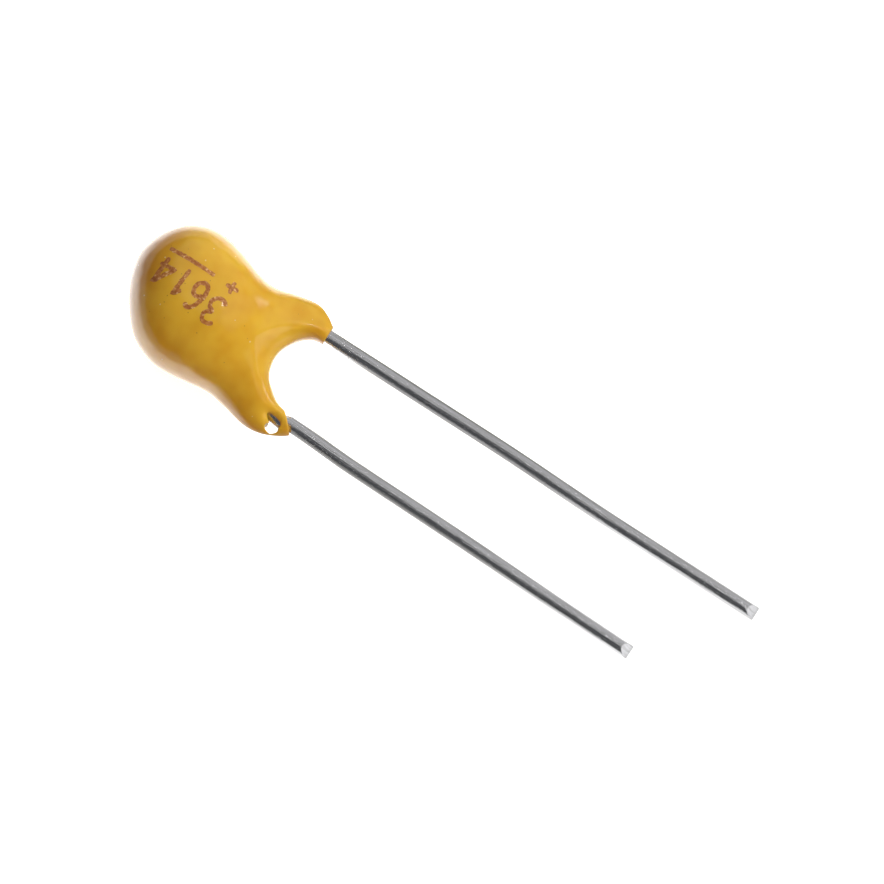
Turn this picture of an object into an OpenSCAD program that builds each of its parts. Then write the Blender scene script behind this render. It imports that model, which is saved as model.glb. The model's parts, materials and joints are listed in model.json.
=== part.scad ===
// Dipped solid tantalum capacitor with two radial wire leads, lying at rest on a level surface.
// Millimetres, +Z up, leads pointing along +X. The capacitor is first drawn flat in its own
// plane (x along the leads, y across them, z through the bead) and then laid down.

/* [Resin bead] */
// Half thickness of the bead at its middle
bead_half_t = 2.0; // [1.85:0.05:2.3]
// Half thickness of the resin in its two legs
leg_half_t = 0.66; // [0.6:0.02:0.8]
// Half thickness of the resin where it ends on a lead
foot_half_t = 0.3; // [0.3:0.01:0.4]
// Width of the hole left by the burst bubbles in the foot of the negative lead
void_w = 0.56; // [0.44:0.02:0.56]

/* [Leads] */
// Diameter of both tinned wires
lead_d = 0.5; // [0.45:0.01:0.51]
// Reach of the positive (longer) lead, from the bead's datum
positive_reach = 20.15; // [12:0.05:30]
// Reach of the negative lead
negative_reach = 17.35; // [10:0.05:27]
// Slope of each face of the chisel end, against the wire's axis
chisel_angle = 36; // [30:1:50]

/* [Anode] */
// Diameter of the sintered tantalum pellet
pellet_d = 2.2; // [1.6:0.05:2.3]
// Length of the pellet
pellet_len = 2.8; // [2:0.1:3]
// Diameter of the tantalum riser wire
riser_d = 0.3; // [0.25:0.01:0.32]
// Thickness of the manganese dioxide layer
oxide_t = 0.05; // [0.03:0.01:0.06]
// Thickness of the graphite layer
graphite_t = 0.04; // [0.03:0.01:0.06]
// Thickness of the silver layer
silver_t = 0.06; // [0.04:0.01:0.08]

/* [Hidden] */
$fn = 48;

// Leads: 0.125 inch apart at the bead, the negative one splayed a little outwards.
lead_r = lead_d / 2;
pitch = 3.175;
positive_y = pitch / 2;
negative_y = -1.63;
negative_splay = 0.85;
chisel_len = lead_r / tan(chisel_angle);

// How far a cut reaches past what it cuts.
over = 1;

// Width of the gaps that the weld and the solder fill
joint_gap = 0.04;

// Pellet, its coats, riser and washer share one axis along x at y = pellet_y.
pellet_y = 0.1;
pellet_end = 0.55;
pellet_start = pellet_end - pellet_len;
silver_r = pellet_d / 2 + oxide_t + graphite_t + silver_t;
coat_end = pellet_end - 0.25;
riser_depth = 1.4;
riser_end = 1.5;
washer_t = 0.18;
washer_d = 0.9;

// Inner run of the positive lead: beside the riser, out to the foot at 45 degrees, then a
// slight kink where it leaves the foot.
kink_angle = 8;
weld_y = pellet_y + riser_d / 2 + joint_gap + lead_r;
weld_start = 0.95;
weld_len = 0.34;
positive_kink_x = 3.2;
bend_x = 2.5;
bend_y = positive_y - (positive_kink_x - bend_x) * tan(kink_angle);
weld_bend_x = bend_x - (bend_y - weld_y);

// Inner run of the negative lead: beside the silver, then outwards through the foot.
solder_y = pellet_y - silver_r - joint_gap - lead_r;
negative_start = -1.6;
negative_kink_x = 3.85;
solder_bend_x = negative_kink_x - (solder_y - negative_y) / tan(kink_angle);
solder_len = 1.7;
solder_r = 0.4;

// Where the resin ends on each lead. The negative foot ends on a slant.
positive_exit = 3.32;
negative_exit = 3.78;
exit_slant = 45;

// Skeleton under the ridge of the resin: bead middle, fork, and for each leg the knee that
// bows it and its end in the foot.
bead_mid = [-1.2, 0.1];
fork = [1.35, 0.0];
positive_knee = [2.2, 1.75];
positive_end = [3.5, 1.6];
negative_knee = [2.3, -1.95];
negative_end = [4.05, -1.65];

// Outline of the resin in the plane of the leads, walked from the bead's positive side
// round its closed end, down the negative leg, through the crotch and up the positive leg.
round_end = [[-1.20, 2.52], [-1.97, 2.47], [-2.66, 2.08], [-3.14, 1.42], [-3.37, 0.61],
             [-3.23, -0.23], [-2.77, -1.12], [-2.06, -1.91], [-1.22, -2.31]];
negative_flank = [[-0.45, -2.36], [0.30, -2.26]];
negative_outer = [[1.00, -2.16], [1.75, -2.27], [2.55, -2.43], [3.15, -2.38], [3.70, -2.145]];
negative_tip = [[4.12, -1.85], [4.32, -1.60], [4.10, -1.31]];
negative_inner = [[3.58, -1.30], [3.15, -1.20], [2.81, -0.97], [2.55, -0.74], [2.37, -0.44]];
crotch_mid = [[2.29, 0.0]];
positive_inner = [[2.36, 0.42], [2.55, 0.82], [2.78, 1.09], [3.02, 1.235], [3.30, 1.275]];
positive_tip = [[3.62, 1.29], [3.80, 1.59], [3.65, 1.88]];
positive_outer = [[3.33, 1.94], [2.98, 2.16], [2.50, 2.32], [1.80, 2.21], [1.00, 2.00]];
positive_flank = [[0.40, 2.07], [-0.40, 2.34]];
outline = concat(round_end, negative_flank, negative_outer, negative_tip, negative_inner,
                 crotch_mid, positive_inner, positive_tip, positive_outer, positive_flank);

// Corner numbers of the outline at which the ribs change from one bone to the next.
at_flank = len(round_end) - 1;
at_negative_hip = len(round_end) + len(negative_flank);
at_negative_toe = at_negative_hip + len(negative_outer);
at_negative_heel = at_negative_toe + len(negative_tip) - 1;
at_crotch = at_negative_heel + len(negative_inner) + 1;
at_positive_heel = at_crotch + len(positive_inner) + 1;
at_positive_toe = at_positive_heel + len(positive_tip) - 1;
at_positive_hip = at_positive_toe + len(positive_outer);

// Ribs round each stretch, and rings from the ridge down to the outline.
n_round = 36;
n_stem = 12;
n_leg = 22;
n_tip = 8;
n_rings = 9;

// A point at corner number u of the smooth closed curve through a list of corners.
function corner(list, i) = list[(i + len(list)) % len(list)];
function through(list, u) =
    let (i = floor(u), t = u - i, a = corner(list, i - 1), b = corner(list, i),
         c = corner(list, i + 1), d = corner(list, i + 2))
    (2 * b + (c - a) * t + (2 * a - 5 * b + 4 * c - d) * t * t
     + (3 * b - a - 3 * c + d) * t * t * t) / 2;
function curve(u) = through(outline, u);
function mix(a, b, t) = a + (b - a) * t;
function smooth(t) = let (s = min(max(t, 0), 1)) s * s * (3 - 2 * s);
// A point at share s of a leg's bone, from the fork outwards. It sets off slowly, so that the
// ribs fan out at the fork and leave no crease there.
function leg(knee, end, s) =
    let (t = s * s * (2 - s))
    (1 - t) * (1 - t) * fork + 2 * t * (1 - t) * knee + t * t * end;

// Ribs [bone point, outline point], in order round the outline.
function fan(c, from, to, n) = [for (k = [0:n - 1]) [c, curve(mix(from, to, k / n))]];
function stem(k) = mix(bead_mid, fork, k / n_stem);
function ribs() = concat(
    fan(bead_mid, 0, at_flank, n_round),
    [for (k = [0:n_stem - 1]) [stem(k), curve(mix(at_flank, at_negative_hip, k / n_stem))]],
    [for (k = [0:n_leg - 1]) [leg(negative_knee, negative_end, k / n_leg),
        curve(mix(at_negative_hip, at_negative_toe, k / n_leg))]],
    fan(negative_end, at_negative_toe, at_negative_heel, n_tip),
    [for (k = [0:n_leg - 1]) [leg(negative_knee, negative_end, 1 - k / n_leg),
        curve(mix(at_negative_heel, at_crotch, k / n_leg))]],
    [for (k = [0:n_leg - 1]) [leg(positive_knee, positive_end, k / n_leg),
        curve(mix(at_crotch, at_positive_heel, k / n_leg))]],
    fan(positive_end, at_positive_heel, at_positive_toe, n_tip),
    [for (k = [0:n_leg - 1]) [leg(positive_knee, positive_end, 1 - k / n_leg),
        curve(mix(at_positive_toe, at_positive_hip, k / n_leg))]],
    [for (k = [0:n_stem - 1]) [stem(n_stem - k),
        curve(mix(at_positive_hip, len(outline), k / n_stem))]]);

// Half thickness over a point of the plane: it thins from the bead to the legs, and each foot
// is rounded off towards its lead. The positive leg is the shorter one, so it does both sooner.
thin_from = -0.4;
thin_to = 3.3;
round_from = 2.5;
round_len = 1.5;
sooner = 0.65;
function ridge(p) =
    let (reach = p.x + sooner * smooth((p.y + 1) / 2) * smooth((p.x - 0.6) / 2.4),
         body = mix(bead_half_t, leg_half_t, smooth((reach - thin_from) / (thin_to - thin_from))),
         end = min(max((reach - round_from) / round_len, 0), 1))
    mix(foot_half_t, body, sqrt(1 - end * end));

// Power of a rib's profile, from where the rib ends: 1 is an ellipse, and the web between the
// legs has a blunter edge.
web_bluntness = 0.4;
function profile_power(q) =
    1 - web_bluntness * smooth((q.x - 1.6) / 0.6) * smooth((1.5 - abs(q.y)) / 1.2);
function tidy(v) = [for (c = v) round(c * 10000) / 10000];
function rib_point(rib, ring, side) =
    let (a = 90 * ring / n_rings, p = mix(rib[0], rib[1], sin(a)),
         z = ring == n_rings ? 0 : side * ridge(p) * pow(cos(a), profile_power(rib[1])))
    tidy([p.x, p.y, z]);

all_ribs = ribs();
n_ribs = len(all_ribs);
front_points = [for (rib = all_ribs) for (j = [0:n_rings]) rib_point(rib, j, 1)];
back_points = [for (rib = all_ribs) for (j = [0:n_rings]) rib_point(rib, j, -1)];
bead_points = concat(front_points, back_points);
function at(side, i, j) = side * n_ribs * (n_rings + 1) + (i % n_ribs) * (n_rings + 1) + j;
bead_faces = [
    for (i = [0:n_ribs - 1]) for (j = [0:n_rings - 1]) each [
        [at(0, i, j), at(0, i, j + 1), at(0, i + 1, j + 1)],
        [at(0, i, j), at(0, i + 1, j + 1), at(0, i + 1, j)],
        [at(1, i, j), at(1, i + 1, j + 1), at(1, i, j + 1)],
        [at(1, i, j), at(1, i + 1, j), at(1, i + 1, j + 1)]]];

// Laying down: the capacitor stands on the belly of its bead and on the lower edge of each
// chisel end. With L the distance back from the line through both ends, the surface under it
// is z = -lead_r + slope * L.
negative_tip_y = negative_y - (negative_reach - negative_kink_x) * tan(negative_splay);
foot_p = [positive_reach - chisel_len, positive_y];
foot_n = [negative_reach - chisel_len, negative_tip_y];
skew = (foot_p.x - foot_n.x) / (foot_p.y - foot_n.y);
function back_from_ends(p) = p.x - foot_p.x - skew * (p.y - foot_p.y);
slope = max([for (p = back_points) (p.z + lead_r) / back_from_ends(p)]);
up = [-slope, slope * skew, 1] / norm([-slope, slope * skew, 1]);
ahead = ([1, 0, 0] - up.x * up) / norm([1, 0, 0] - up.x * up);
aside = cross(up, ahead);
function laid(p) = [ahead * p, aside * p, up * p];
reach_min = min([for (p = bead_points) laid(p).x]);
reach_max = laid([positive_reach, positive_y, 0]).x;
side_min = min([for (p = bead_points) laid(p).y]);
side_max = max([for (p = bead_points) laid(p).y]);
under = laid([foot_p.x, foot_p.y, -lead_r]).z;
shift = -[(reach_min + reach_max) / 2, (side_min + side_max) / 2, under];

module lay_down() {
    multmatrix([[ahead.x, ahead.y, ahead.z, shift.x],
                [aside.x, aside.y, aside.z, shift.y],
                [up.x, up.y, up.z, shift.z],
                [0, 0, 0, 1]])
        children();
}

// A wire or bore of radius r along x, from x0 to x1 at height y.
module along_x(x0, x1, y, r) {
    translate([x0, y, 0]) rotate([0, 90, 0]) cylinder(r = r, h = x1 - x0);
}

// A straight piece of wire from point a to point b in the plane of the leads.
module wire(a, b, r) {
    translate([a.x, a.y, 0]) rotate([0, 0, atan2(b.y - a.y, b.x - a.x)])
        rotate([0, 90, 0]) cylinder(r = r, h = norm(b - a));
}

// An elbow of the wire, a touch fuller than the wire because it was bent cold.
elbow_fullness = 1.06;
module elbow(p, r) {
    translate([p.x, p.y, 0]) sphere(r = elbow_fullness * r);
}

// The two flat cuts of wire cutters, meeting at an edge across the wire at reach x.
module chisel_cuts(x, y) {
    for (side = [-1, 1])
        translate([x, y, 0]) rotate([0, side * (90 - chisel_angle), 0])
            translate([0, -over, -2 * over]) cube([2 * over, 2 * over, 4 * over]);
}

// The positive lead, from the weld out to the tip. Its bore in the resin is the same shape.
weld_bend = [weld_bend_x, weld_y];
foot_bend = [bend_x, bend_y];
positive_kink = [positive_kink_x, positive_y];
module positive_wire() {
    wire([weld_start, weld_y], weld_bend, lead_r);
    elbow(weld_bend, lead_r);
    wire(weld_bend, foot_bend, lead_r);
    elbow(foot_bend, lead_r);
    wire(foot_bend, positive_kink, lead_r);
    elbow(positive_kink, lead_r);
    wire(positive_kink, [positive_reach, positive_y], lead_r);
}

// The negative lead: straight beside the silver, a slight kink outwards in the foot, then
// straight again to the tip.
solder_bend = [solder_bend_x, solder_y];
negative_kink = [negative_kink_x, negative_y];
module negative_wire() {
    wire([negative_start, solder_y], solder_bend, lead_r);
    elbow(solder_bend, lead_r);
    wire(solder_bend, negative_kink, lead_r);
    elbow(negative_kink, lead_r);
    wire(negative_kink, [negative_reach, negative_tip_y], lead_r);
}

module positive_lead() {
    color("silver") lay_down() difference() {
        positive_wire();
        chisel_cuts(positive_reach, positive_y);
    }
}

module negative_lead() {
    color("silver") lay_down() difference() {
        negative_wire();
        translate([negative_reach, negative_tip_y, 0]) rotate([0, 0, -negative_splay])
            chisel_cuts(0, 0);
    }
}

module pellet_stack() {
    along_x(pellet_start - oxide_t - graphite_t - silver_t, coat_end, pellet_y, silver_r);
    along_x(pellet_start, pellet_end + oxide_t, pellet_y, pellet_d / 2 + oxide_t);
    along_x(pellet_end, pellet_end + oxide_t + washer_t, pellet_y, washer_d / 2);
    along_x(pellet_end, riser_end, pellet_y, riser_d / 2);
}

module resin_coating() {
    color("goldenrod") lay_down() difference() {
        polyhedron(points = bead_points, faces = bead_faces, convexity = 6);
        translate([positive_exit, positive_y - over, -over]) cube([over, 2 * over, 2 * over]);
        translate([negative_exit, negative_y, 0]) rotate([0, 0, exit_slant])
            translate([0, -over, -over]) cube([over, 2 * over, 2 * over]);
        positive_wire();
        negative_wire();
        pellet_stack();
        solder_blob();
        weld_blob();
        burst_bubbles();
    }
}

// The burst bubbles beside the negative lead: one large hole at the rim of the foot, which runs
// into a row of small ones that lays the side of the wire bare.
void_edge = [[3.06, -1.73], [3.16, -1.67], [3.34, -1.68], [3.54, -1.73], [3.64, -1.84],
             [3.62, -1.95], [3.645, -2.06], [3.56, -2.17], [3.43, -2.225], [3.28, -2.20],
             [3.20, -2.12], [3.22, -2.03], [3.27, -1.95], [3.20, -1.90], [3.11, -1.83]];
void_mid = [3.38, -1.93];
void_drawn_w = 0.56;
void_steps = 4;
module burst_bubbles() {
    translate([0, 0, -over]) linear_extrude(height = 2 * over)
        polygon([for (k = [0:len(void_edge) * void_steps - 1])
            void_mid + (through(void_edge, k / void_steps) - void_mid) * void_w / void_drawn_w]);
}

module cup(r_in, r_out, x_closed, x_open, floor_t) {
    difference() {
        along_x(x_closed - floor_t, x_open, pellet_y, r_out);
        along_x(x_closed, x_open + over, pellet_y, r_in);
    }
}

module tantalum_pellet() {
    color("dimgray") lay_down() difference() {
        along_x(pellet_start, pellet_end, pellet_y, pellet_d / 2);
        along_x(pellet_end - riser_depth, pellet_end + over, pellet_y, riser_d / 2);
    }
}

module anode_riser_wire() {
    color("slategray") lay_down()
        along_x(pellet_end - riser_depth, riser_end, pellet_y, riser_d / 2);
}

module ptfe_washer() {
    color("white") lay_down() difference() {
        along_x(pellet_end + oxide_t, pellet_end + oxide_t + washer_t, pellet_y, washer_d / 2);
        along_x(pellet_end, pellet_end + over, pellet_y, riser_d / 2);
    }
}

module manganese_dioxide_layer() {
    color("black") lay_down() difference() {
        along_x(pellet_start - oxide_t, pellet_end + oxide_t, pellet_y, pellet_d / 2 + oxide_t);
        along_x(pellet_start, pellet_end, pellet_y, pellet_d / 2);
        along_x(pellet_end - over, pellet_end + over, pellet_y, riser_d / 2);
    }
}

module graphite_layer() {
    color("darkslategray") lay_down()
        cup(pellet_d / 2 + oxide_t, silver_r - silver_t, pellet_start - oxide_t, coat_end,
            graphite_t);
}

module silver_layer() {
    color("gainsboro") lay_down()
        cup(silver_r - silver_t, silver_r, pellet_start - oxide_t - graphite_t, coat_end,
            silver_t);
}

// Solder drawn into the gap between the negative lead and the silver.
solder_mid = negative_start + 0.15 + solder_len / 2;
module solder_blob() {
    along_x(solder_mid - solder_len / 2, solder_mid + solder_len / 2, solder_y + 0.12, solder_r);
}

module solder_joint() {
    color("lightgray") lay_down() difference() {
        solder_blob();
        along_x(negative_start, solder_mid + solder_len, solder_y, lead_r);
        along_x(pellet_start - over, coat_end + over, pellet_y, silver_r);
    }
}

// Weld nugget that closes the gap between the riser and the positive lead.
weld_r = 0.2;
module weld_blob() {
    along_x(weld_start + 0.05, weld_start + weld_len - 0.05, weld_y - lead_r, weld_r);
}

module weld_joint() {
    color("gray") lay_down() difference() {
        weld_blob();
        along_x(weld_start, weld_start + weld_len + over, weld_y, lead_r);
        along_x(pellet_end, riser_end + over, pellet_y, riser_d / 2);
    }
}

resin_coating();
positive_lead();
negative_lead();
tantalum_pellet();
anode_riser_wire();
ptfe_washer();
manganese_dioxide_layer();
graphite_layer();
silver_layer();
solder_joint();
weld_joint();
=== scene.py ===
"""Looks for a dipped tantalum capacitor: a yellow resin bead on two tinned wires."""
import json
import math

import bmesh
import bpy
import numpy as np
from mathutils import Matrix, Vector
from mathutils.bvhtree import BVHTree

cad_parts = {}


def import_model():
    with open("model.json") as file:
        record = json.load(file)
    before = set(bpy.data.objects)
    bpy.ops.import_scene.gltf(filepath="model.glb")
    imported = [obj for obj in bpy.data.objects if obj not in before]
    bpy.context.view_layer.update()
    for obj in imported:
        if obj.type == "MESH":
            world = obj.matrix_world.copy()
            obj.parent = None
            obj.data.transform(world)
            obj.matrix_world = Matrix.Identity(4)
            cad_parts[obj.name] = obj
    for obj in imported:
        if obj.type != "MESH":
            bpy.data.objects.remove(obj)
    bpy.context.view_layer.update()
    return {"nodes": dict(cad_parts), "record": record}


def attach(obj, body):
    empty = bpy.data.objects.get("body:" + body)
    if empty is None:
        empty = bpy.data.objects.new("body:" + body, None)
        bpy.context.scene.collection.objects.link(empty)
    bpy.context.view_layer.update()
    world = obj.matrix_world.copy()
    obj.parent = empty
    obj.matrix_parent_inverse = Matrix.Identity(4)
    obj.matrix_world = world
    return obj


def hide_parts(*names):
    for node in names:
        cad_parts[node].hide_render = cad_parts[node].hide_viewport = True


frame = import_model()
MM = 0.001

# ---------------------------------------------------------------- sizes, in millimetres
LEAD_R = 0.25
POSITIVE_Y = 1.5875
NEGATIVE_Y = -1.63
POSITIVE_REACH = 20.15
NEGATIVE_REACH = 17.35
POSITIVE_EXIT = 3.32
NEGATIVE_EXIT = 3.78
EXIT_SLANT = 45
POSITIVE_KINK = 3.2
NEGATIVE_KINK = 3.85
KINK_SLOPE = math.tan(math.radians(8))
SPLAY = math.tan(math.radians(0.85))
CHISEL_ANGLE = 36
BEAD_HALF_T = 2.0
LEG_HALF_T = 0.66
FOOT_HALF_T = 0.3
HOLE = [(3.06, -1.73), (3.16, -1.67), (3.34, -1.68), (3.54, -1.73), (3.64, -1.84),
        (3.62, -1.95), (3.645, -2.06), (3.56, -2.17), (3.43, -2.225), (3.28, -2.20),
        (3.20, -2.12), (3.22, -2.03), (3.27, -1.95), (3.20, -1.90), (3.11, -1.83)]
CRATER, CRATER_SIZE, CRATER_DEPTH = (3.34, -1.80), (0.36, 0.26), 0.5
MOUNT_X = 11.563
# How the resin thins along the leads: where each change starts and over what length.
TAPER, ROUNDING = (-0.4, 3.7), (2.5, 1.5)
# The positive side thins sooner by this much, growing across the leads and along them.
SOONER, SOONER_Y, SOONER_X = 0.65, (-1, 2), (0.6, 2.4)
# The crotch has a blunter edge, growing along the leads and fading out to the feet.
CROTCH_BLUNT, CROTCH_X, CROTCH_SIDE, CROTCH_FADE = 0.4, (1.6, 0.6), 1.5, 1.2

# ---------------------------------------------------------------- the plane of the leads
MOUNTS = {m["name"]: m for m in frame["record"]["mounts"]}


def lead_frame():
    """Axes and datum of the capacitor's own plane, from the mounts on its two leads."""
    plus, minus = MOUNTS["positive_lead_end"], MOUNTS["negative_lead_end"]
    x = Vector(plus["axis"]).normalized()
    across = Vector(plus["pos_m"]) - Vector(minus["pos_m"])
    y = (across - across.dot(x) * x).normalized()
    z = x.cross(y)
    datum = Vector(plus["pos_m"]) - MM * (MOUNT_X * x + POSITIVE_Y * y)
    return np.array([x, y, z]), np.array(datum)


AXES, DATUM = lead_frame()


def laid(points):
    """Points of the capacitor's own plane (mm) as it lies on the surface (m)."""
    return np.asarray(points, float) * MM @ AXES + DATUM


# ---------------------------------------------------------------- resin: outline and ribs
BEAD_MID, FORK = (-1.2, 0.1), (1.35, 0.0)
POSITIVE_KNEE, POSITIVE_END = (2.2, 1.75), (3.5, 1.6)
NEGATIVE_KNEE, NEGATIVE_END = (2.3, -1.95), (4.05, -1.65)
ROUND_END = [(-1.20, 2.52), (-1.97, 2.47), (-2.66, 2.08), (-3.14, 1.42), (-3.37, 0.61),
             (-3.23, -0.23), (-2.77, -1.12), (-2.06, -1.91), (-1.22, -2.31)]
NEGATIVE_FLANK = [(-0.45, -2.36), (0.30, -2.26)]
NEGATIVE_OUTER = [(1.00, -2.16), (1.75, -2.27), (2.55, -2.43), (3.15, -2.38), (3.70, -2.145)]
NEGATIVE_TIP = [(4.12, -1.85), (4.32, -1.60), (4.10, -1.31)]
NEGATIVE_INNER = [(3.58, -1.30), (3.15, -1.20), (2.81, -0.97), (2.55, -0.74), (2.37, -0.44)]
CROTCH_MID = [(2.29, 0.0)]
POSITIVE_INNER = [(2.36, 0.42), (2.55, 0.82), (2.78, 1.09), (3.02, 1.235), (3.30, 1.275)]
POSITIVE_TIP = [(3.62, 1.29), (3.80, 1.59), (3.65, 1.88)]
POSITIVE_OUTER = [(3.33, 1.94), (2.98, 2.16), (2.50, 2.32), (1.80, 2.21), (1.00, 2.00)]
POSITIVE_FLANK = [(0.40, 2.07), (-0.40, 2.34)]
PARTS = [ROUND_END, NEGATIVE_FLANK, NEGATIVE_OUTER, NEGATIVE_TIP, NEGATIVE_INNER,
         CROTCH_MID, POSITIVE_INNER, POSITIVE_TIP, POSITIVE_OUTER, POSITIVE_FLANK]
OUTLINE = np.array([p for part in PARTS for p in part])
AT_FLANK = len(ROUND_END) - 1
AT_NEGATIVE_HIP = len(ROUND_END) + len(NEGATIVE_FLANK)
AT_NEGATIVE_TOE = AT_NEGATIVE_HIP + len(NEGATIVE_OUTER)
AT_NEGATIVE_HEEL = AT_NEGATIVE_TOE + len(NEGATIVE_TIP) - 1
AT_CROTCH = AT_NEGATIVE_HEEL + len(NEGATIVE_INNER) + 1
AT_POSITIVE_HEEL = AT_CROTCH + len(POSITIVE_INNER) + 1
AT_POSITIVE_TOE = AT_POSITIVE_HEEL + len(POSITIVE_TIP) - 1
AT_POSITIVE_HIP = AT_POSITIVE_TOE + len(POSITIVE_OUTER)
N_ROUND, N_STEM, N_LEG, N_TIP, N_RINGS = 108, 36, 66, 24, 26


def spline(a, b, c, d, t):
    """Points at shares t of the way from b to c, on the Catmull-Rom curve through all four."""
    cubic = 3 * b - a - 3 * c + d
    return (2 * b + (c - a) * t + (2 * a - 5 * b + 4 * c - d) * t * t + cubic * t ** 3) / 2


def closed_curve(corners, u):
    """Points of the smooth closed curve through the corners, at corner numbers u."""
    i = np.floor(u).astype(int)
    a, b, c, d = (corners[(i + k) % len(corners)] for k in (-1, 0, 1, 2))
    return spline(a, b, c, d, (u - i)[:, None])


def straight(a, b, t):
    """Points at shares t of the way from a to b."""
    return np.array(a) + np.subtract(b, a) * np.reshape(t, (-1, 1))


def leg(knee, end, s):
    """Points at shares s of a leg's bone, setting off slowly from the fork."""
    t = (s * s * (2 - s))[:, None]
    return (1 - t) ** 2 * FORK + 2 * t * (1 - t) * knee + t * t * end


def ribs():
    """Where each rib starts on the ridge and ends on the outline."""
    fork, minus_knee, minus_end, plus_knee, plus_end = (np.array(p) for p in (
        FORK, NEGATIVE_KNEE, NEGATIVE_END, POSITIVE_KNEE, POSITIVE_END))
    runs = [(lambda t: straight(BEAD_MID, BEAD_MID, t), 0, AT_FLANK, N_ROUND),
            (lambda t: straight(BEAD_MID, FORK, t), AT_FLANK, AT_NEGATIVE_HIP, N_STEM),
            (lambda t: leg(minus_knee, minus_end, t), AT_NEGATIVE_HIP, AT_NEGATIVE_TOE, N_LEG),
            (lambda t: straight(minus_end, minus_end, t), AT_NEGATIVE_TOE, AT_NEGATIVE_HEEL,
             N_TIP),
            (lambda t: leg(minus_knee, minus_end, 1 - t), AT_NEGATIVE_HEEL, AT_CROTCH, N_LEG),
            (lambda t: leg(plus_knee, plus_end, t), AT_CROTCH, AT_POSITIVE_HEEL, N_LEG),
            (lambda t: straight(plus_end, plus_end, t), AT_POSITIVE_HEEL, AT_POSITIVE_TOE,
             N_TIP),
            (lambda t: leg(plus_knee, plus_end, 1 - t), AT_POSITIVE_TOE, AT_POSITIVE_HIP, N_LEG),
            (lambda t: straight(FORK, BEAD_MID, t), AT_POSITIVE_HIP, len(OUTLINE), N_STEM)]
    starts, ends = [], []
    for bone, first, last, n in runs:
        t = np.arange(n) / n
        starts.append(bone(t))
        ends.append(closed_curve(OUTLINE, first + (last - first) * t))
    return np.concatenate(starts), np.concatenate(ends)


def smooth(t):
    """0 up to t = 0 and 1 from t = 1 on, eased between them."""
    s = np.clip(t, 0, 1)
    return s * s * (3 - 2 * s)


def share_along(value, stretch):
    """How far a value is along a stretch, which is its start and its length."""
    start, length = stretch
    return (value - start) / length


def ridge(x, y):
    """Half thickness of the resin over a point of the plane."""
    sooner = SOONER * smooth(share_along(y, SOONER_Y)) * smooth(share_along(x, SOONER_X))
    reach = x + sooner
    body = BEAD_HALF_T + (LEG_HALF_T - BEAD_HALF_T) * smooth(share_along(reach, TAPER))
    end = np.clip(share_along(reach, ROUNDING), 0, 1)
    return FOOT_HALF_T + (body - FOOT_HALF_T) * np.sqrt(1 - end * end)


def fullness(x, y):
    """Power of the ribs' profile by where they end: 1 is an ellipse, less is blunter."""
    inner = smooth((CROTCH_SIDE - np.abs(y)) / CROTCH_FADE)
    return 1 - CROTCH_BLUNT * smooth(share_along(x, CROTCH_X)) * inner


def resin_surface():
    """Front and back of the resin as one closed grid of points and faces."""
    starts, ends = ribs()
    a = np.pi / 2 * np.arange(N_RINGS + 1) / N_RINGS
    flat = starts[:, None] + (ends - starts)[:, None] * np.sin(a)[None, :, None]
    power = fullness(ends[:, 0], ends[:, 1])[:, None]
    z = ridge(flat[..., 0], flat[..., 1]) * np.maximum(np.cos(a), 0)[None] ** power
    off = (flat - CRATER) / CRATER_SIZE
    front = np.dstack([flat, z * (1 - CRATER_DEPTH * np.exp(-(off * off).sum(2)))])
    back = np.dstack([flat, -z])[:, :-1]
    n = len(starts)
    points = np.concatenate([front.reshape(-1, 3), back.reshape(-1, 3)])

    def at(side, i, j):
        if side == 0 or j == N_RINGS:
            return (i % n) * (N_RINGS + 1) + j
        return n * (N_RINGS + 1) + (i % n) * N_RINGS + j

    faces = []
    for i in range(n):
        for j in range(N_RINGS):
            quad = [at(0, i, j), at(0, i + 1, j), at(0, i + 1, j + 1), at(0, i, j + 1)]
            faces.append(quad[::-1])
            quad = [at(1, i, j), at(1, i + 1, j), at(1, i + 1, j + 1), at(1, i, j + 1)]
            faces.append(quad)
    return points, faces


# ---------------------------------------------------------------- mesh helpers
def new_object(name, points, faces, material=None):
    """A mesh object in the scene, from points in metres."""
    mesh = bpy.data.meshes.new(name)
    mesh.from_pydata([tuple(p) for p in points], [], faces)
    obj = bpy.data.objects.new(name, mesh)
    bpy.context.scene.collection.objects.link(obj)
    if material:
        mesh.materials.append(material)
    return obj


def weld(obj, distance):
    """Joins points that lie together and turns all faces outward."""
    bm = bmesh.new()
    bm.from_mesh(obj.data)
    bmesh.ops.remove_doubles(bm, verts=bm.verts, dist=distance)
    bmesh.ops.dissolve_degenerate(bm, edges=bm.edges, dist=distance / 10)
    bmesh.ops.recalc_face_normals(bm, faces=bm.faces)
    bm.to_mesh(obj.data)
    bm.free()


def apply_modifiers(obj):
    """Replaces the mesh by what its modifiers make of it."""
    graph = bpy.context.evaluated_depsgraph_get()
    made = bpy.data.meshes.new_from_object(obj.evaluated_get(graph))
    obj.modifiers.clear()
    obj.data = made


def cut(obj, cutter):
    """Takes the cutter's shape out of the object, and removes the cutter."""
    mod = obj.modifiers.new("cut", "BOOLEAN")
    mod.operation = "DIFFERENCE"
    mod.solver = "MANIFOLD"
    mod.object = cutter
    apply_modifiers(obj)
    bpy.data.objects.remove(cutter, do_unlink=True)


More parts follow.
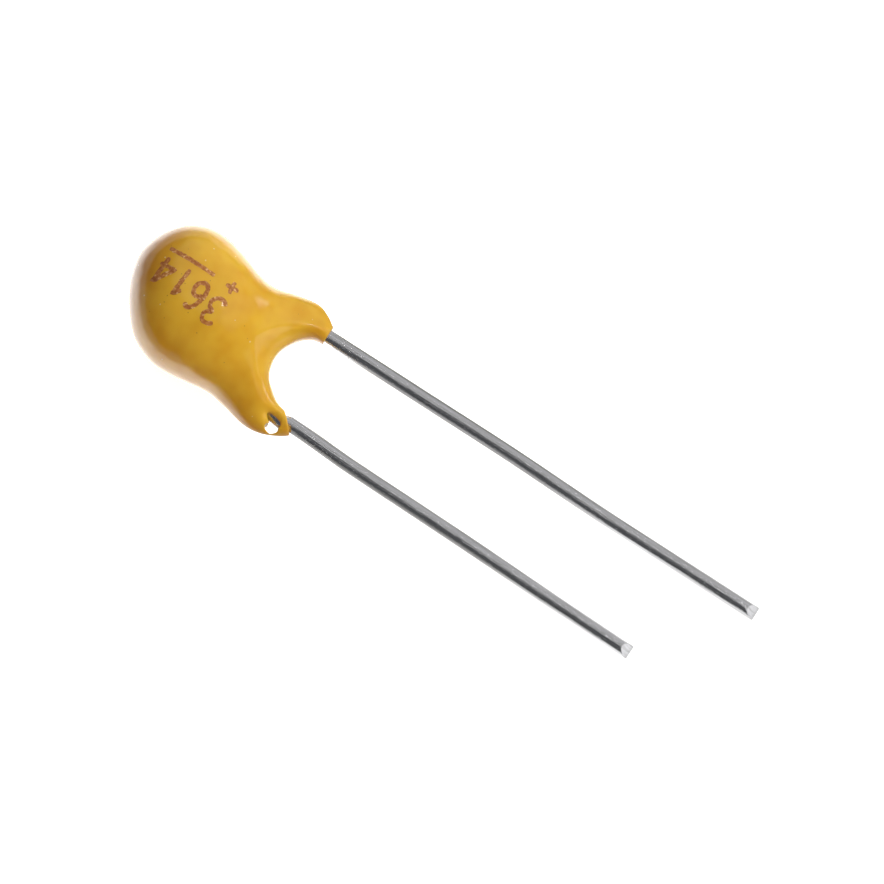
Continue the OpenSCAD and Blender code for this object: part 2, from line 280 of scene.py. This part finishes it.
def box_cutter(start, turn, size):
    """A box across the plane of the leads, from the middle of its near side, turned about z.
    Its size is its length, its width and half its height."""
    sx, sy, sz = size
    c, s = math.cos(math.radians(turn)), math.sin(math.radians(turn))
    flat = [(0, -sy / 2), (sx, -sy / 2), (sx, sy / 2), (0, sy / 2)]
    flat = [(start[0] + c * x - s * y, start[1] + s * x + c * y) for x, y in flat]
    points = [(x, y, z) for z in (-sz, sz) for x, y in flat]
    faces = [(3, 2, 1, 0), (4, 5, 6, 7), (0, 1, 5, 4), (1, 2, 6, 5), (2, 3, 7, 6), (3, 0, 4, 7)]
    return new_object("cutter", laid(points), faces)


def ring_cutter(ring, half):
    """A straight cutter across the plane, from a closed curve drawn in it."""
    n = len(ring)
    points = [(x, y, z) for z in (-half, half) for x, y in ring]
    faces = [tuple(range(n))[::-1], tuple(range(n, 2 * n))]
    faces += [(k, (k + 1) % n, n + (k + 1) % n, n + k) for k in range(n)]
    return new_object("cutter", laid(points), faces)


# ---------------------------------------------------------------- materials
RESIN_DEEP, RESIN_LIGHT = (0.65, 0.33, 0.02), (0.73, 0.42, 0.034)
# The round end is darkened and reddened over this stretch of x, counted from the middle of the
# part. This is painted shade, for the side that gets little light.
RESIN_END_SHADE, END_SHADE_X = (0.52, 0.2, 0.014, 1), (-11.6 * MM, -9.9 * MM)
SPECK_DARK, SPECK_PALE = (0.23, 0.1, 0.02, 1), (0.9, 0.8, 0.45, 1)
INK_DARK, INK_PALE, INK_SPECK = (0.36, 0.115, 0.027), (0.52, 0.21, 0.06), (0.75, 0.46, 0.2)
WIRE_DULL, WIRE_BRIGHT = (0.62, 0.61, 0.62), (0.78, 0.78, 0.8)
BLACK, WHITE = (0, 0, 0), (1, 1, 1)


class Shader:
    """A material's node tree with short ways to add and join its nodes."""

    def __init__(self, name):
        self.mat = bpy.data.materials.new(name)
        self.mat.use_nodes = True
        self.tree = self.mat.node_tree
        self.tree.nodes.clear()
        self.out = self.tree.nodes.new("ShaderNodeOutputMaterial")

    def node(self, kind, inputs=None, **settings):
        made = self.tree.nodes.new("ShaderNode" + kind)
        for key, value in settings.items():
            setattr(made, key, value)
        for key, value in (inputs or {}).items():
            self.put(made.inputs[key], value)
        return made

    def put(self, socket, value):
        if isinstance(value, bpy.types.NodeSocket):
            self.tree.links.new(value, socket)
        elif isinstance(value, bpy.types.Node):
            self.tree.links.new(value.outputs[0], socket)
        else:
            socket.default_value = value

    def place(self):
        """Object coordinates in metres, as separate x, y and z."""
        return self.node("SeparateXYZ", {"Vector": self.node("TexCoord").outputs["Object"]}).outputs

    def coords(self):
        """Object coordinates in millimetres."""
        place = self.node("TexCoord").outputs["Object"]
        return self.node("Mapping", {"Vector": place, "Scale": (1 / MM,) * 3})

    def span(self, value, start, end, at_start, at_end, kind="LINEAR"):
        """A value that runs from at_start to at_end between start and end, and stops there."""
        return self.node("MapRange", {"Value": value, "From Min": start, "From Max": end,
                                      "To Min": at_start, "To Max": at_end},
                         interpolation_type=kind)

    def ramp(self, fac, stops):
        """Colours by a value, between stops of (value, colour)."""
        made = self.node("ValToRGB", {"Fac": fac})
        elements = made.color_ramp.elements
        while len(elements) < len(stops):
            elements.new(0.5)
        for element, (at, colour) in zip(elements, stops):
            element.position = at
            element.color = (*colour, 1)
        return made

    def mix(self, fac, a, b):
        """Colour a, turning to b as fac goes from 0 to 1."""
        made = self.node("Mix", data_type="RGBA")
        for socket, value in ((made.inputs[0], fac), (made.inputs[6], a), (made.inputs[7], b)):
            self.put(socket, value)
        return made.outputs[2]

    def math(self, operation, a, b=0.0):
        made = self.node("Math", operation=operation)
        self.put(made.inputs[0], a)
        self.put(made.inputs[1], b)
        return made

    def surface(self, **inputs):
        """Ends the material in a Principled shader; an underscore stands for a space."""
        named = {key.replace("_", " "): value for key, value in inputs.items()}
        bsdf = self.node("BsdfPrincipled", named)
        self.put(self.out.inputs[0], bsdf)
        return self.mat


def speck_mask(sh, scale, size, share):
    """1 in small round specks. Cells are about 1/scale mm wide, and a share of them has one."""
    cells = sh.node("TexVoronoi", {"Vector": sh.coords(), "Scale": scale})
    near = sh.math("LESS_THAN", cells.outputs["Distance"], size)
    pick = sh.node("SeparateColor", {"Color": cells.outputs["Color"]}).outputs[0]
    return sh.math("MULTIPLY", near, sh.math("LESS_THAN", pick, share))


def resin_material():
    sh = Shader("yellow_epoxy")
    drift = sh.node("TexNoise", {"Vector": sh.coords(), "Scale": 0.9, "Detail": 2.0})
    base = sh.ramp(drift.outputs["Fac"], [(0.35, RESIN_DEEP), (0.65, RESIN_LIGHT)])
    # Painted shade: the round end turns darker and redder toward its tip.
    at_end = sh.span(sh.place()[0], *END_SHADE_X, 1.0, 0.0, kind="SMOOTHSTEP")
    base = sh.mix(at_end, base, RESIN_END_SHADE)
    dark = speck_mask(sh, scale=3.4, size=0.075, share=0.45)
    pale = speck_mask(sh, scale=2.6, size=0.07, share=0.35)
    colour = sh.mix(sh.math("MULTIPLY", dark, 0.55), base, SPECK_DARK)
    colour = sh.mix(sh.math("MULTIPLY", pale, 0.5), colour, SPECK_PALE)
    wave = sh.node("TexNoise", {"Vector": sh.coords(), "Scale": 1.6, "Detail": 1.0})
    grain = sh.node("TexNoise", {"Vector": sh.coords(), "Scale": 22.0, "Detail": 2.0})
    height = sh.math("ADD", sh.math("MULTIPLY", wave.outputs["Fac"], 0.02),
                     sh.math("MULTIPLY", grain.outputs["Fac"], 0.0006))
    bump = sh.node("Bump", {"Height": height, "Distance": MM, "Strength": 1.0})
    return sh.surface(Base_Color=colour, Roughness=0.13, IOR=1.55, Normal=bump,
                      Subsurface_Weight=0.15, Subsurface_Radius=(1.0, 0.4, 0.12),
                      Subsurface_Scale=0.4 * MM)


def ink_material():
    sh = Shader("red_brown_ink")
    grain = sh.node("TexNoise", {"Vector": sh.coords(), "Scale": 9.0, "Detail": 3.0})
    colour = sh.ramp(grain.outputs["Fac"], [(0.4, INK_DARK), (0.6, INK_PALE),
                                            (0.66, INK_SPECK)])
    bump = sh.node("Bump", {"Height": grain.outputs["Fac"], "Distance": 0.05 * MM,
                            "Strength": 1.0})
    return sh.surface(Base_Color=colour, Roughness=0.22, Normal=bump)


def wire_material():
    """Tinned wire with fine drawing lines along it, small pits and duller patches."""
    sh = Shader("tinned_wire")
    uv = sh.node("UVMap", uv_map="wire").outputs[0]
    lines_at = sh.node("Mapping", {"Vector": uv, "Scale": (0.5, 26, 1)})
    lines = sh.node("TexNoise", {"Vector": lines_at, "Scale": 1.0, "Detail": 3.0})
    pits_at = sh.node("Mapping", {"Vector": uv, "Scale": (9, 14, 1)})
    pits = sh.node("TexNoise", {"Vector": pits_at, "Scale": 1.0, "Detail": 2.0})
    pitted = sh.ramp(pits.outputs["Fac"], [(0.3, BLACK), (0.42, WHITE)])
    height = sh.math("ADD", sh.math("MULTIPLY", lines.outputs["Fac"], 0.010),
                     sh.math("MULTIPLY", pitted, 0.004))
    bump = sh.node("Bump", {"Height": height, "Distance": MM, "Strength": 1.0})
    tone = sh.ramp(lines.outputs["Fac"], [(0.3, WIRE_DULL), (0.6, WIRE_BRIGHT)])
    return sh.surface(Base_Color=tone, Metallic=1.0, Roughness=0.18, Normal=bump)


def plain_material(name, colour, metallic, roughness):
    return Shader(name).surface(Base_Color=(*colour, 1), Metallic=metallic, Roughness=roughness)


RESIN = resin_material()
WIRE = wire_material()
# The hidden pieces: material, colour, metallic share and roughness.
INNER = {
    "tantalum_pellet": ("sintered_tantalum", (0.13, 0.13, 0.14), 0.6, 0.7),
    "anode_riser_wire": ("tantalum_wire", (0.42, 0.43, 0.46), 1.0, 0.35),
    "ptfe_washer": ("white_ptfe", (0.8, 0.8, 0.78), 0.0, 0.5),
    "manganese_dioxide_layer": ("manganese_dioxide", (0.02, 0.018, 0.018), 0.0, 0.8),
    "graphite_layer": ("graphite", (0.045, 0.045, 0.05), 0.1, 0.55),
    "silver_layer": ("silver_paint", (0.68, 0.67, 0.65), 0.9, 0.45),
    "solder_joint": ("solder", (0.6, 0.6, 0.62), 1.0, 0.3),
    "weld_joint": ("weld_metal", (0.35, 0.34, 0.34), 1.0, 0.4),
}
for node_name, look in INNER.items():
    for entry in frame["nodes"][node_name].material_slots:
        entry.material = plain_material(*look)


# ---------------------------------------------------------------- resin
WELD_DISTANCE = 1e-7
# The boxes that trim the ends of the feet, and the burst bubble's cutter.
POSITIVE_TRIM, NEGATIVE_TRIM = (1, 2, 1), (1, 2.4, 1)
HOLE_STEPS, HOLE_CUT_HALF = 8, 1.1
VOXEL = 0.037 * MM


def resin_piece():
    """The bead with its feet, their ends cut off square and slanting, and the burst bubble."""
    points, faces = resin_surface()
    obj = new_object("resin_bead", laid(points), faces, RESIN)
    weld(obj, WELD_DISTANCE)
    cut(obj, box_cutter((POSITIVE_EXIT, POSITIVE_Y), 0, POSITIVE_TRIM))
    cut(obj, box_cutter((NEGATIVE_EXIT, NEGATIVE_Y), EXIT_SLANT, NEGATIVE_TRIM))
    corners = np.array(HOLE[::-1])
    ring = closed_curve(corners, np.arange(HOLE_STEPS * len(HOLE)) / HOLE_STEPS)
    cut(obj, ring_cutter(ring, HOLE_CUT_HALF))
    remesh = obj.modifiers.new("remesh", "REMESH")
    remesh.mode = "VOXEL"
    remesh.voxel_size = VOXEL
    remesh.use_smooth_shade = True
    soften = obj.modifiers.new("soften", "SMOOTH")
    soften.factor = 0.5
    soften.iterations = 3
    apply_modifiers(obj)
    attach(obj, "root")
    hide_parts("resin_coating")
    return obj


# ---------------------------------------------------------------- leads
BEND_REACH, BEND_STEPS = 0.3, 6
# Where the wires start inside the resin, and where their bends are, along the leads.
WELD_START, POSITIVE_BEND_X = (0.95, 0.54), 2.5
SOLDER_START, NEGATIVE_JOIN_X, NEGATIVE_JOIN_RUN = (-1.6, -1.44), 3.0, 0.5
FINE_END, FINE_STEPS, POSITIVE_STEPS, NEGATIVE_STEPS = 4.5, 40, 120, 130
# The unevenness of hand-straightened wire: stops of (x, how far sideways), in mm. The jog in
# the negative wire is under the resin of its foot.
POSITIVE_WAVE = [(3.3, -0.01), (6.5, 0.0), (9.9, 0.006), (14.6, -0.06), (20.0, -0.052)]
NEGATIVE_WAVE = [(3.1, -0.065), (3.55, -0.07), (3.83, 0.064), (4.2, 0.062), (6.3, 0.006),
                 (10.6, 0.02), (14.6, 0.0)]
WIRE_SIDES = 48


def eased(x, stops):
    """A value that eases from one (x, value) stop to the next."""
    xs, values = zip(*stops)
    i = int(np.clip(np.searchsorted(xs, x) - 1, 0, len(xs) - 2))
    t = float(smooth((x - xs[i]) / (xs[i + 1] - xs[i])))
    return values[i] + (values[i + 1] - values[i]) * t


def rounded(points):
    """The polyline with its inner corners rounded off."""
    out = [points[0]]
    for a, b, c in zip(points, points[1:], points[2:]):
        a, b, c = (np.array(p, float) for p in (a, b, c))
        r = min(BEND_REACH, np.linalg.norm(b - a) / 2, np.linalg.norm(c - b) / 2)
        p = b + (a - b) / np.linalg.norm(a - b) * r
        q = b + (c - b) / np.linalg.norm(c - b) * r
        for t in np.linspace(0, 1, BEND_STEPS):
            out.append((1 - t) ** 2 * p + 2 * t * (1 - t) * b + t * t * q)
    return [tuple(p) for p in out] + [points[-1]]


def positive_line():
    """The middle of the positive wire: from its weld, out by an elbow, and along."""
    weld_y = WELD_START[1]
    bend_y = POSITIVE_Y - (POSITIVE_KINK - POSITIVE_BEND_X) * KINK_SLOPE
    elbow = (POSITIVE_BEND_X - (bend_y - weld_y), weld_y)
    inner = rounded([WELD_START, elbow, (POSITIVE_BEND_X, bend_y), (POSITIVE_KINK, POSITIVE_Y)])
    xs = np.linspace(POSITIVE_KINK, POSITIVE_REACH, POSITIVE_STEPS)[1:]
    return inner + [(x, POSITIVE_Y + eased(x, POSITIVE_WAVE)) for x in xs]


def negative_line():
    """The middle of the negative wire: from its solder, by a slight bend, and along."""
    solder_y = SOLDER_START[1]
    bend_x = NEGATIVE_KINK - (solder_y - NEGATIVE_Y) / KINK_SLOPE
    join = (NEGATIVE_JOIN_X, solder_y - NEGATIVE_JOIN_RUN * KINK_SLOPE)
    inner = rounded([SOLDER_START, (bend_x, solder_y), join])
    xs = np.concatenate([np.linspace(NEGATIVE_JOIN_X, FINE_END, FINE_STEPS)[1:-1],
                         np.linspace(FINE_END, NEGATIVE_REACH, NEGATIVE_STEPS)])
    line = []
    for x in xs:
        slope = KINK_SLOPE if x < NEGATIVE_KINK else SPLAY
        y = NEGATIVE_Y - (x - NEGATIVE_KINK) * slope
        line.append((x, y + eased(x, NEGATIVE_WAVE)))
    return inner + line


def lead_piece(name, line):
    """A round wire along the line, cut to a chisel edge at its far end."""
    line = np.array(line)
    steps = np.gradient(line, axis=0)
    steps /= np.linalg.norm(steps, axis=1)[:, None]
    run = np.concatenate([[0], np.cumsum(np.linalg.norm(np.diff(line, axis=0), axis=1))])
    turns = 2 * math.pi * np.arange(WIRE_SIDES) / WIRE_SIDES
    rings = []
    for k, (p, d) in enumerate(zip(line, steps)):
        side = np.stack([-d[1] * np.cos(turns), d[0] * np.cos(turns), np.sin(turns)], 1) * LEAD_R
        ring = side + [p[0], p[1], 0]
        back = np.abs(np.sin(turns)) * LEAD_R / math.tan(math.radians(CHISEL_ANGLE))
        left = run[-1] - run[k]
        pull = np.maximum(back - left, 0)
        ring[:, :2] -= pull[:, None] * d
        rings.append(ring)
    points = np.concatenate(rings)
    n = WIRE_SIDES
    faces = [(k * n + j, k * n + (j + 1) % n, (k + 1) * n + (j + 1) % n, (k + 1) * n + j)
             for k in range(len(line) - 1) for j in range(n)]
    last = (len(line) - 1) * n
    caps = [tuple(range(n))[::-1], tuple(last + j for j in range(n // 2 + 1)),
            tuple(last + j % n for j in range(n // 2, n + 1))]
    obj = new_object(name, laid(points), faces + caps, WIRE)
    mesh = obj.data
    layer = mesh.uv_layers.new(name="wire")
    for poly in mesh.polygons:
        poly.use_smooth = poly.index < len(faces)
        for loop in poly.loop_indices:
            v = mesh.loops[loop].vertex_index
            k, j = divmod(v, n)
            if poly.index < len(faces) and poly.index % n == n - 1 and j == 0:
                j = n
            layer.data[loop].uv = (run[k], j * 2 * math.pi * LEAD_R / n)
    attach(obj, "root")
    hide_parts(name)
    return obj


# ---------------------------------------------------------------- print
# Plain figures as pen strokes in a box one unit tall, and how wide each figure is.
FIGURES = {
    "3": (0.56, [[(0.04, 0.86), (0.2, 0.98), (0.4, 0.98), (0.52, 0.84), (0.5, 0.66),
                  (0.34, 0.54), (0.5, 0.44), (0.56, 0.24), (0.42, 0.04), (0.2, 0.0),
                  (0.02, 0.12)]]),
    "6": (0.56, [[(0.5, 0.9), (0.34, 1.0), (0.16, 0.88), (0.04, 0.6), (0.02, 0.3),
                  (0.12, 0.06), (0.3, 0.0), (0.5, 0.1), (0.54, 0.32), (0.42, 0.5),
                  (0.22, 0.52), (0.06, 0.4)]]),
    "1": (0.3, [[(0.02, 0.76), (0.22, 1.0), (0.22, 0.0)]]),
    "4": (0.62, [[(0.46, 0.0), (0.46, 1.0), (0.02, 0.32), (0.62, 0.32)]]),
}
# The pen's width, its step along a stroke, how uneven its edges are, how narrow a stroke's
# last two points are, the points across it, and how far the ink stands off the resin.
PEN, PEN_STEP, PEN_WOBBLE, PEN_ENDS, PEN_ACROSS = 0.15, 0.03, 0.16, (0.55, 0.9), 6
INK_LIFT = 0.004
STROKE_STEPS = 5
DROP_HEIGHT = 4


def bvh_of(obj):
    """The object's faces as a tree that rays can be cast at."""
    mesh = obj.data
    return BVHTree.FromPolygons([v.co for v in mesh.vertices],
                                [tuple(p.vertices) for p in mesh.polygons])


def smoothed(stroke):
    """The stroke drawn as a Catmull-Rom curve through its points."""
    pts = [stroke[0]] + list(stroke) + [stroke[-1]]
    out = []
    for a, b, c, d in zip(pts, pts[1:], pts[2:], pts[3:]):
        a, b, c, d = (np.array(p, float) for p in (a, b, c, d))
        out += [spline(a, b, c, d, t) for t in np.arange(STROKE_STEPS) / STROKE_STEPS]
    return out + [np.array(stroke[-1], float)]


def resampled(path, step):
    """The path with points at even steps."""
    path = np.array(path)
    run = np.concatenate([[0], np.cumsum(np.linalg.norm(np.diff(path, axis=0), axis=1))])
    at = np.linspace(0, run[-1], max(2, int(run[-1] / step) + 1))
    return np.stack([np.interp(at, run, path[:, k]) for k in (0, 1)], 1)


def ribbon(path, width, rng):
    """Left and right edges of a pen stroke, a little uneven, as rows of points across it."""
    path = resampled(path, PEN_STEP)
    d = np.gradient(path, axis=0)
    d /= np.linalg.norm(d, axis=1)[:, None] + 1e-9
    normal = np.stack([-d[:, 1], d[:, 0]], 1)
    n = len(path)
    half = width / 2 * (1 + PEN_WOBBLE * rng.normal(size=(n, 2)))
    half = (half + np.roll(half, 1, 0) + np.roll(half, -1, 0)) / 3
    end = np.minimum(np.arange(n), np.arange(n)[::-1])
    half *= np.where(end == 0, PEN_ENDS[0], np.where(end == 1, PEN_ENDS[1], 1.0))[:, None]
    rows = []
    for k in range(n):
        across = np.linspace(-half[k, 0], half[k, 1], PEN_ACROSS)
        rows.append(path[k] + across[:, None] * normal[k])
    return rows


def printed(name, strokes, tree, rng):
    """Strokes of ink laid on the resin: rows of points dropped onto it along z."""
    points, faces = [], []
    for path in strokes:
        rows = ribbon(path, PEN, rng)
        base = len(points)
        for row in rows:
            for x, y in row:
                start, below = laid([[x, y, DROP_HEIGHT], [x, y, 0]])
                hit, normal, _, _ = tree.ray_cast(Vector(start), Vector(below - start))
                points.append(hit + normal * INK_LIFT * MM)
        m = len(rows[0])
        for k in range(len(rows) - 1):
            for j in range(m - 1):
                a = base + k * m + j
                faces.append((a, a + m, a + m + 1, a + 1))
    obj = new_object(name, points, faces, INK)
    for poly in obj.data.polygons:
        poly.use_smooth = True
    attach(obj, "root")
    return obj


# Each figure: where its foot starts, how far it runs along -x and along -y.
FIGURE_ROWS = [("3", (0.10, 0.33), 0.50, 0.94), ("6", (-0.66, 0.47), 0.46, 0.98),
               ("1", (-1.38, 0.60), 0.26, 0.98), ("4", (-1.95, 0.62), 0.56, 0.94)]
LEAN = 0.07
PLUS, PLUS_ARM, PLUS_TILT = (-0.10, 0.865), 0.23, 0.02
BAR = [(-2.54, 0.92), (-0.80, 0.89)]
PRINT_SEED = 5


def print_piece(resin):
    """The figures, the plus and the bar, as ink on the front of the bead."""
    rng = np.random.default_rng(PRINT_SEED)
    tree = bvh_of(resin)
    strokes = []
    for figure, (x0, y0), wide, tall in FIGURE_ROWS:
        unit_wide, lines = FIGURES[figure]
        for line in lines:
            line = smoothed(line) if figure in "36" else line
            strokes.append([(x0 - u / unit_wide * wide - LEAN * v, y0 - v * tall)
                            for u, v in line])
    x, y = PLUS
    strokes.append([(x - PLUS_ARM, y - PLUS_TILT), (x + PLUS_ARM, y + PLUS_TILT)])
    strokes.append([(x + PLUS_TILT, y - PLUS_ARM), (x - PLUS_TILT, y + PLUS_ARM)])
    strokes.append(BAR)
    return printed("polarity_print", strokes, tree, rng)


INK = ink_material()
resin = resin_piece()
lead_piece("positive_lead", positive_line())
lead_piece("negative_lead", negative_line())
print_piece(resin)

# ---------------------------------------------------------------- camera
CAMERA_TURN, CAMERA_RISE, CAMERA_ROLL = 23.67, 73.58, 8.64
CAMERA_DISTANCE = 0.3
PIXELS_PER_MM = 30.23
FRAME_PX = 884
ORIGIN_PX = (430.5, 468.35)
SENSOR = 36


def camera_axes():
    """The camera's right, top and look, from its turn, rise and roll."""
    turn, rise, roll = (math.radians(a) for a in (CAMERA_TURN, CAMERA_RISE, CAMERA_ROLL))
    side = Vector((math.cos(turn), math.sin(turn), 0))
    ahead = Vector((-math.sin(turn), math.cos(turn), 0))
    look = math.cos(rise) * ahead - math.sin(rise) * Vector((0, 0, 1))
    up = math.sin(rise) * ahead + math.cos(rise) * Vector((0, 0, 1))
    right = math.cos(roll) * side + math.sin(roll) * up
    top = math.cos(roll) * up - math.sin(roll) * side
    return right, top, look


RIGHT, TOP, LOOK = camera_axes()
# The same view with its axes along and across the leads, which slant in the picture.
SLANT_COS, SLANT_SIN = 0.841, 0.541
ALONG = SLANT_COS * RIGHT - SLANT_SIN * TOP
ACROSS = SLANT_SIN * RIGHT + SLANT_COS * TOP


def camera():
    """The photo's view: a long lens, shifted to put the part's origin on its pixel."""
    data = bpy.data.cameras.new("camera")
    data.sensor_width = SENSOR
    data.lens = PIXELS_PER_MM * CAMERA_DISTANCE / MM * SENSOR / FRAME_PX
    data.clip_start = 0.01
    data.clip_end = 10
    data.shift_x = (FRAME_PX / 2 - ORIGIN_PX[0]) / FRAME_PX
    data.shift_y = (ORIGIN_PX[1] - FRAME_PX / 2) / FRAME_PX
    obj = bpy.data.objects.new("camera", data)
    basis = Matrix((RIGHT, TOP, -LOOK)).transposed().to_4x4()
    obj.matrix_world = Matrix.Translation(-CAMERA_DISTANCE * LOOK) @ basis
    bpy.context.scene.collection.objects.link(obj)
    bpy.context.scene.camera = obj


# ---------------------------------------------------------------- floor and light
FLOOR_HALF = 0.3
# Its glow to the camera, and its matt tone to all rays but mirrored ones.
FLOOR_SEEN, FLOOR_TONE = 0.9, 0.85
# Levels in reflections. Pairs are at the bead and at the wires, and change over FLOOR_CHANGE.
FLOOR_CHANGE = (-7.2 * MM, -5.0 * MM)
FLOOR_LEFT, FLOOR_RIGHT = (2.4, 0.5), (2.2, 0.3)
FLOOR_NEAR, FLOOR_FAR, FLOOR_MATT = (6 * MM, 3 * MM), (15 * MM, 6 * MM), (0.85, 0.2)
# The left level turns to the right one across this width, and both fade to a share far off.
FLOOR_ACROSS, FLOOR_FAR_SHARE = (-6 * MM, 6 * MM), 0.1
# The fade counts from a line on the floor: its middle and its half length, along x.
FADE_MIDDLE, FADE_HALF = 2.5 * MM, 12 * MM
# The floor is stronger toward the tips of the wires, and in a patch by the fork.
FLOOR_TIPS, TIPS_X = 2.4, (3 * MM, 6.5 * MM)
FLOOR_FORK, FORK_ACROSS = 2.2, (0.7 * MM, 1.5 * MM)
FORK_X, FORK_OFF = -7 * MM, (1.5 * MM, 3.5 * MM)
LAMP_DISTANCE = 0.5


def floor():
    """A white ground. It looks even to the camera. In reflections its level goes by place:
    at the bead, at the wires, toward their tips, and in a patch by the fork."""
    h = FLOOR_HALF
    obj = new_object("floor", [(-h, -h, 0), (h, -h, 0), (h, h, 0), (-h, h, 0)], [(0, 1, 2, 3)])
    sh = Shader("floor")
    x, y = sh.place()[:2]
    off = sh.math("ABSOLUTE", sh.math("SUBTRACT", x, FADE_MIDDLE))
    beyond = sh.math("MAXIMUM", sh.math("SUBTRACT", off, FADE_HALF), 0.0)
    reach = sh.math("SQRT", sh.math("ADD", sh.math("MULTIPLY", beyond, beyond),
                                    sh.math("MULTIPLY", y, y)))
    left, right, near, far, matt = (
        sh.span(x, *FLOOR_CHANGE, *pair)
        for pair in (FLOOR_LEFT, FLOOR_RIGHT, FLOOR_NEAR, FLOOR_FAR, FLOOR_MATT))
    fade = sh.span(reach, near, far, 1.0, FLOOR_FAR_SHARE, kind="SMOOTHSTEP")
    mirrored = sh.math("MULTIPLY", sh.span(y, *FLOOR_ACROSS, left, right), fade)
    mirrored = sh.math("MULTIPLY", mirrored, sh.span(x, *TIPS_X, 1.0, FLOOR_TIPS))
    across = sh.span(sh.math("ABSOLUTE", y), *FORK_ACROSS, FLOOR_FORK, 0.0)
    off = sh.math("ABSOLUTE", sh.math("SUBTRACT", x, FORK_X))
    fork = sh.math("MULTIPLY", across, sh.span(off, *FORK_OFF, 1.0, 0.0))
    path = sh.node("LightPath")
    glossy = sh.math("MULTIPLY", sh.math("ADD", mirrored, fork), path.outputs["Is Glossy Ray"])
    seen = sh.node("Mix", {"Factor": path.outputs["Is Camera Ray"], "A": glossy,
                           "B": FLOOR_SEEN})
    glow = sh.node("Emission", {"Strength": seen})
    tone = sh.node("Mix", {"Factor": path.outputs["Is Glossy Ray"], "A": FLOOR_TONE, "B": matt})
    white = sh.node("BsdfDiffuse", {"Color": tone})
    sh.put(sh.out.inputs[0], sh.node("AddShader", {0: glow, 1: white}))
    obj.data.materials.append(sh.mat)


def aim(across, along):
    """Axes of a lamp at angles from the camera, across and along the leads; z points to it."""
    a, b = math.radians(across), math.radians(along)
    z = math.cos(a) * math.cos(b) * -LOOK + math.sin(a) * math.cos(b) * ACROSS
    z = (z + math.sin(b) * ALONG).normalized()
    x = (math.cos(a) * ACROSS + math.sin(a) * LOOK).normalized()
    return x, z.cross(x).normalized(), z


def facing(x, y, z):
    """The placing of a lamp that faces the capacitor, from its axes."""
    basis = Matrix((x, y, z)).transposed().to_4x4()
    return Matrix.Translation(LAMP_DISTANCE * z) @ basis


def half_size(angle):
    """Half the width of a lamp that looks so many degrees wide from the capacitor."""
    return LAMP_DISTANCE * math.tan(math.radians(angle / 2))


def card(name, across, along, size, radiance, core=0.35):
    """A glowing card, at angles from the camera and sized in degrees. Outside its core,
    which is a share of its half size, it fades to its edges."""
    obj = new_object(name, [(-1, -1, 0), (1, -1, 0), (1, 1, 0), (-1, 1, 0)], [(0, 1, 2, 3)])
    size = Matrix.Diagonal((half_size(size[0]), half_size(size[1]), 1, 1))
    obj.matrix_world = facing(*aim(across, along)) @ size
    sh = Shader(name)
    level = radiance
    for place in sh.place()[:2]:
        soft = sh.span(sh.math("ABSOLUTE", place), core, 1.0, 1.0, 0.0, kind="SMOOTHSTEP")
        level = sh.math("MULTIPLY", soft, level)
    glow = sh.node("Emission", {"Strength": level})
    sh.put(sh.out.inputs[0], glow)
    obj.data.materials.append(sh.mat)


def softbox(name, across, along, size, radiance, colour):
    """A lamp that isn't mirrored, at angles from the camera and sized in degrees."""
    data = bpy.data.lights.new(name, "AREA")
    data.shape = "RECTANGLE"
    data.size = 2 * half_size(size[0])
    data.size_y = 2 * half_size(size[1])
    data.energy = radiance * math.pi * data.size * data.size_y
    data.color = colour
    obj = bpy.data.objects.new(name, data)
    obj.matrix_world = facing(*aim(across, along))
    obj.visible_glossy = False
    bpy.context.scene.collection.objects.link(obj)


def world(colour):
    """An even sky of one colour."""
    sky = bpy.data.worlds.new("world")
    sky.use_nodes = True
    sky.node_tree.nodes["Background"].inputs["Color"].default_value = (*colour, 1)
    sky.node_tree.nodes["Background"].inputs["Strength"].default_value = 1.0
    bpy.context.scene.world = sky


floor()
camera()
card("key", 31, 8, (34, 24), 0.6)
card("glint", 29, 16, (8, 7), 22)
card("right_card", 52, 0, (106, 110), 0.52, core=0.75)
card("streak", 14, 0, (7, 30), 1.0)
card("low_card", 98, 40, (36, 34), 3.0)
card("end_card", 41, 69, (44, 26), 1.1, core=0.7)
softbox("fill", 44, 11, (50, 50), 6.1, (1, 1.03, 0.85))
softbox("left_fill", -60, 12, (50, 50), 1.1, (1, 0.62, 0.3))
world((0.088, 0.09, 0.095))
bpy.context.scene.view_settings.view_transform = "Standard"
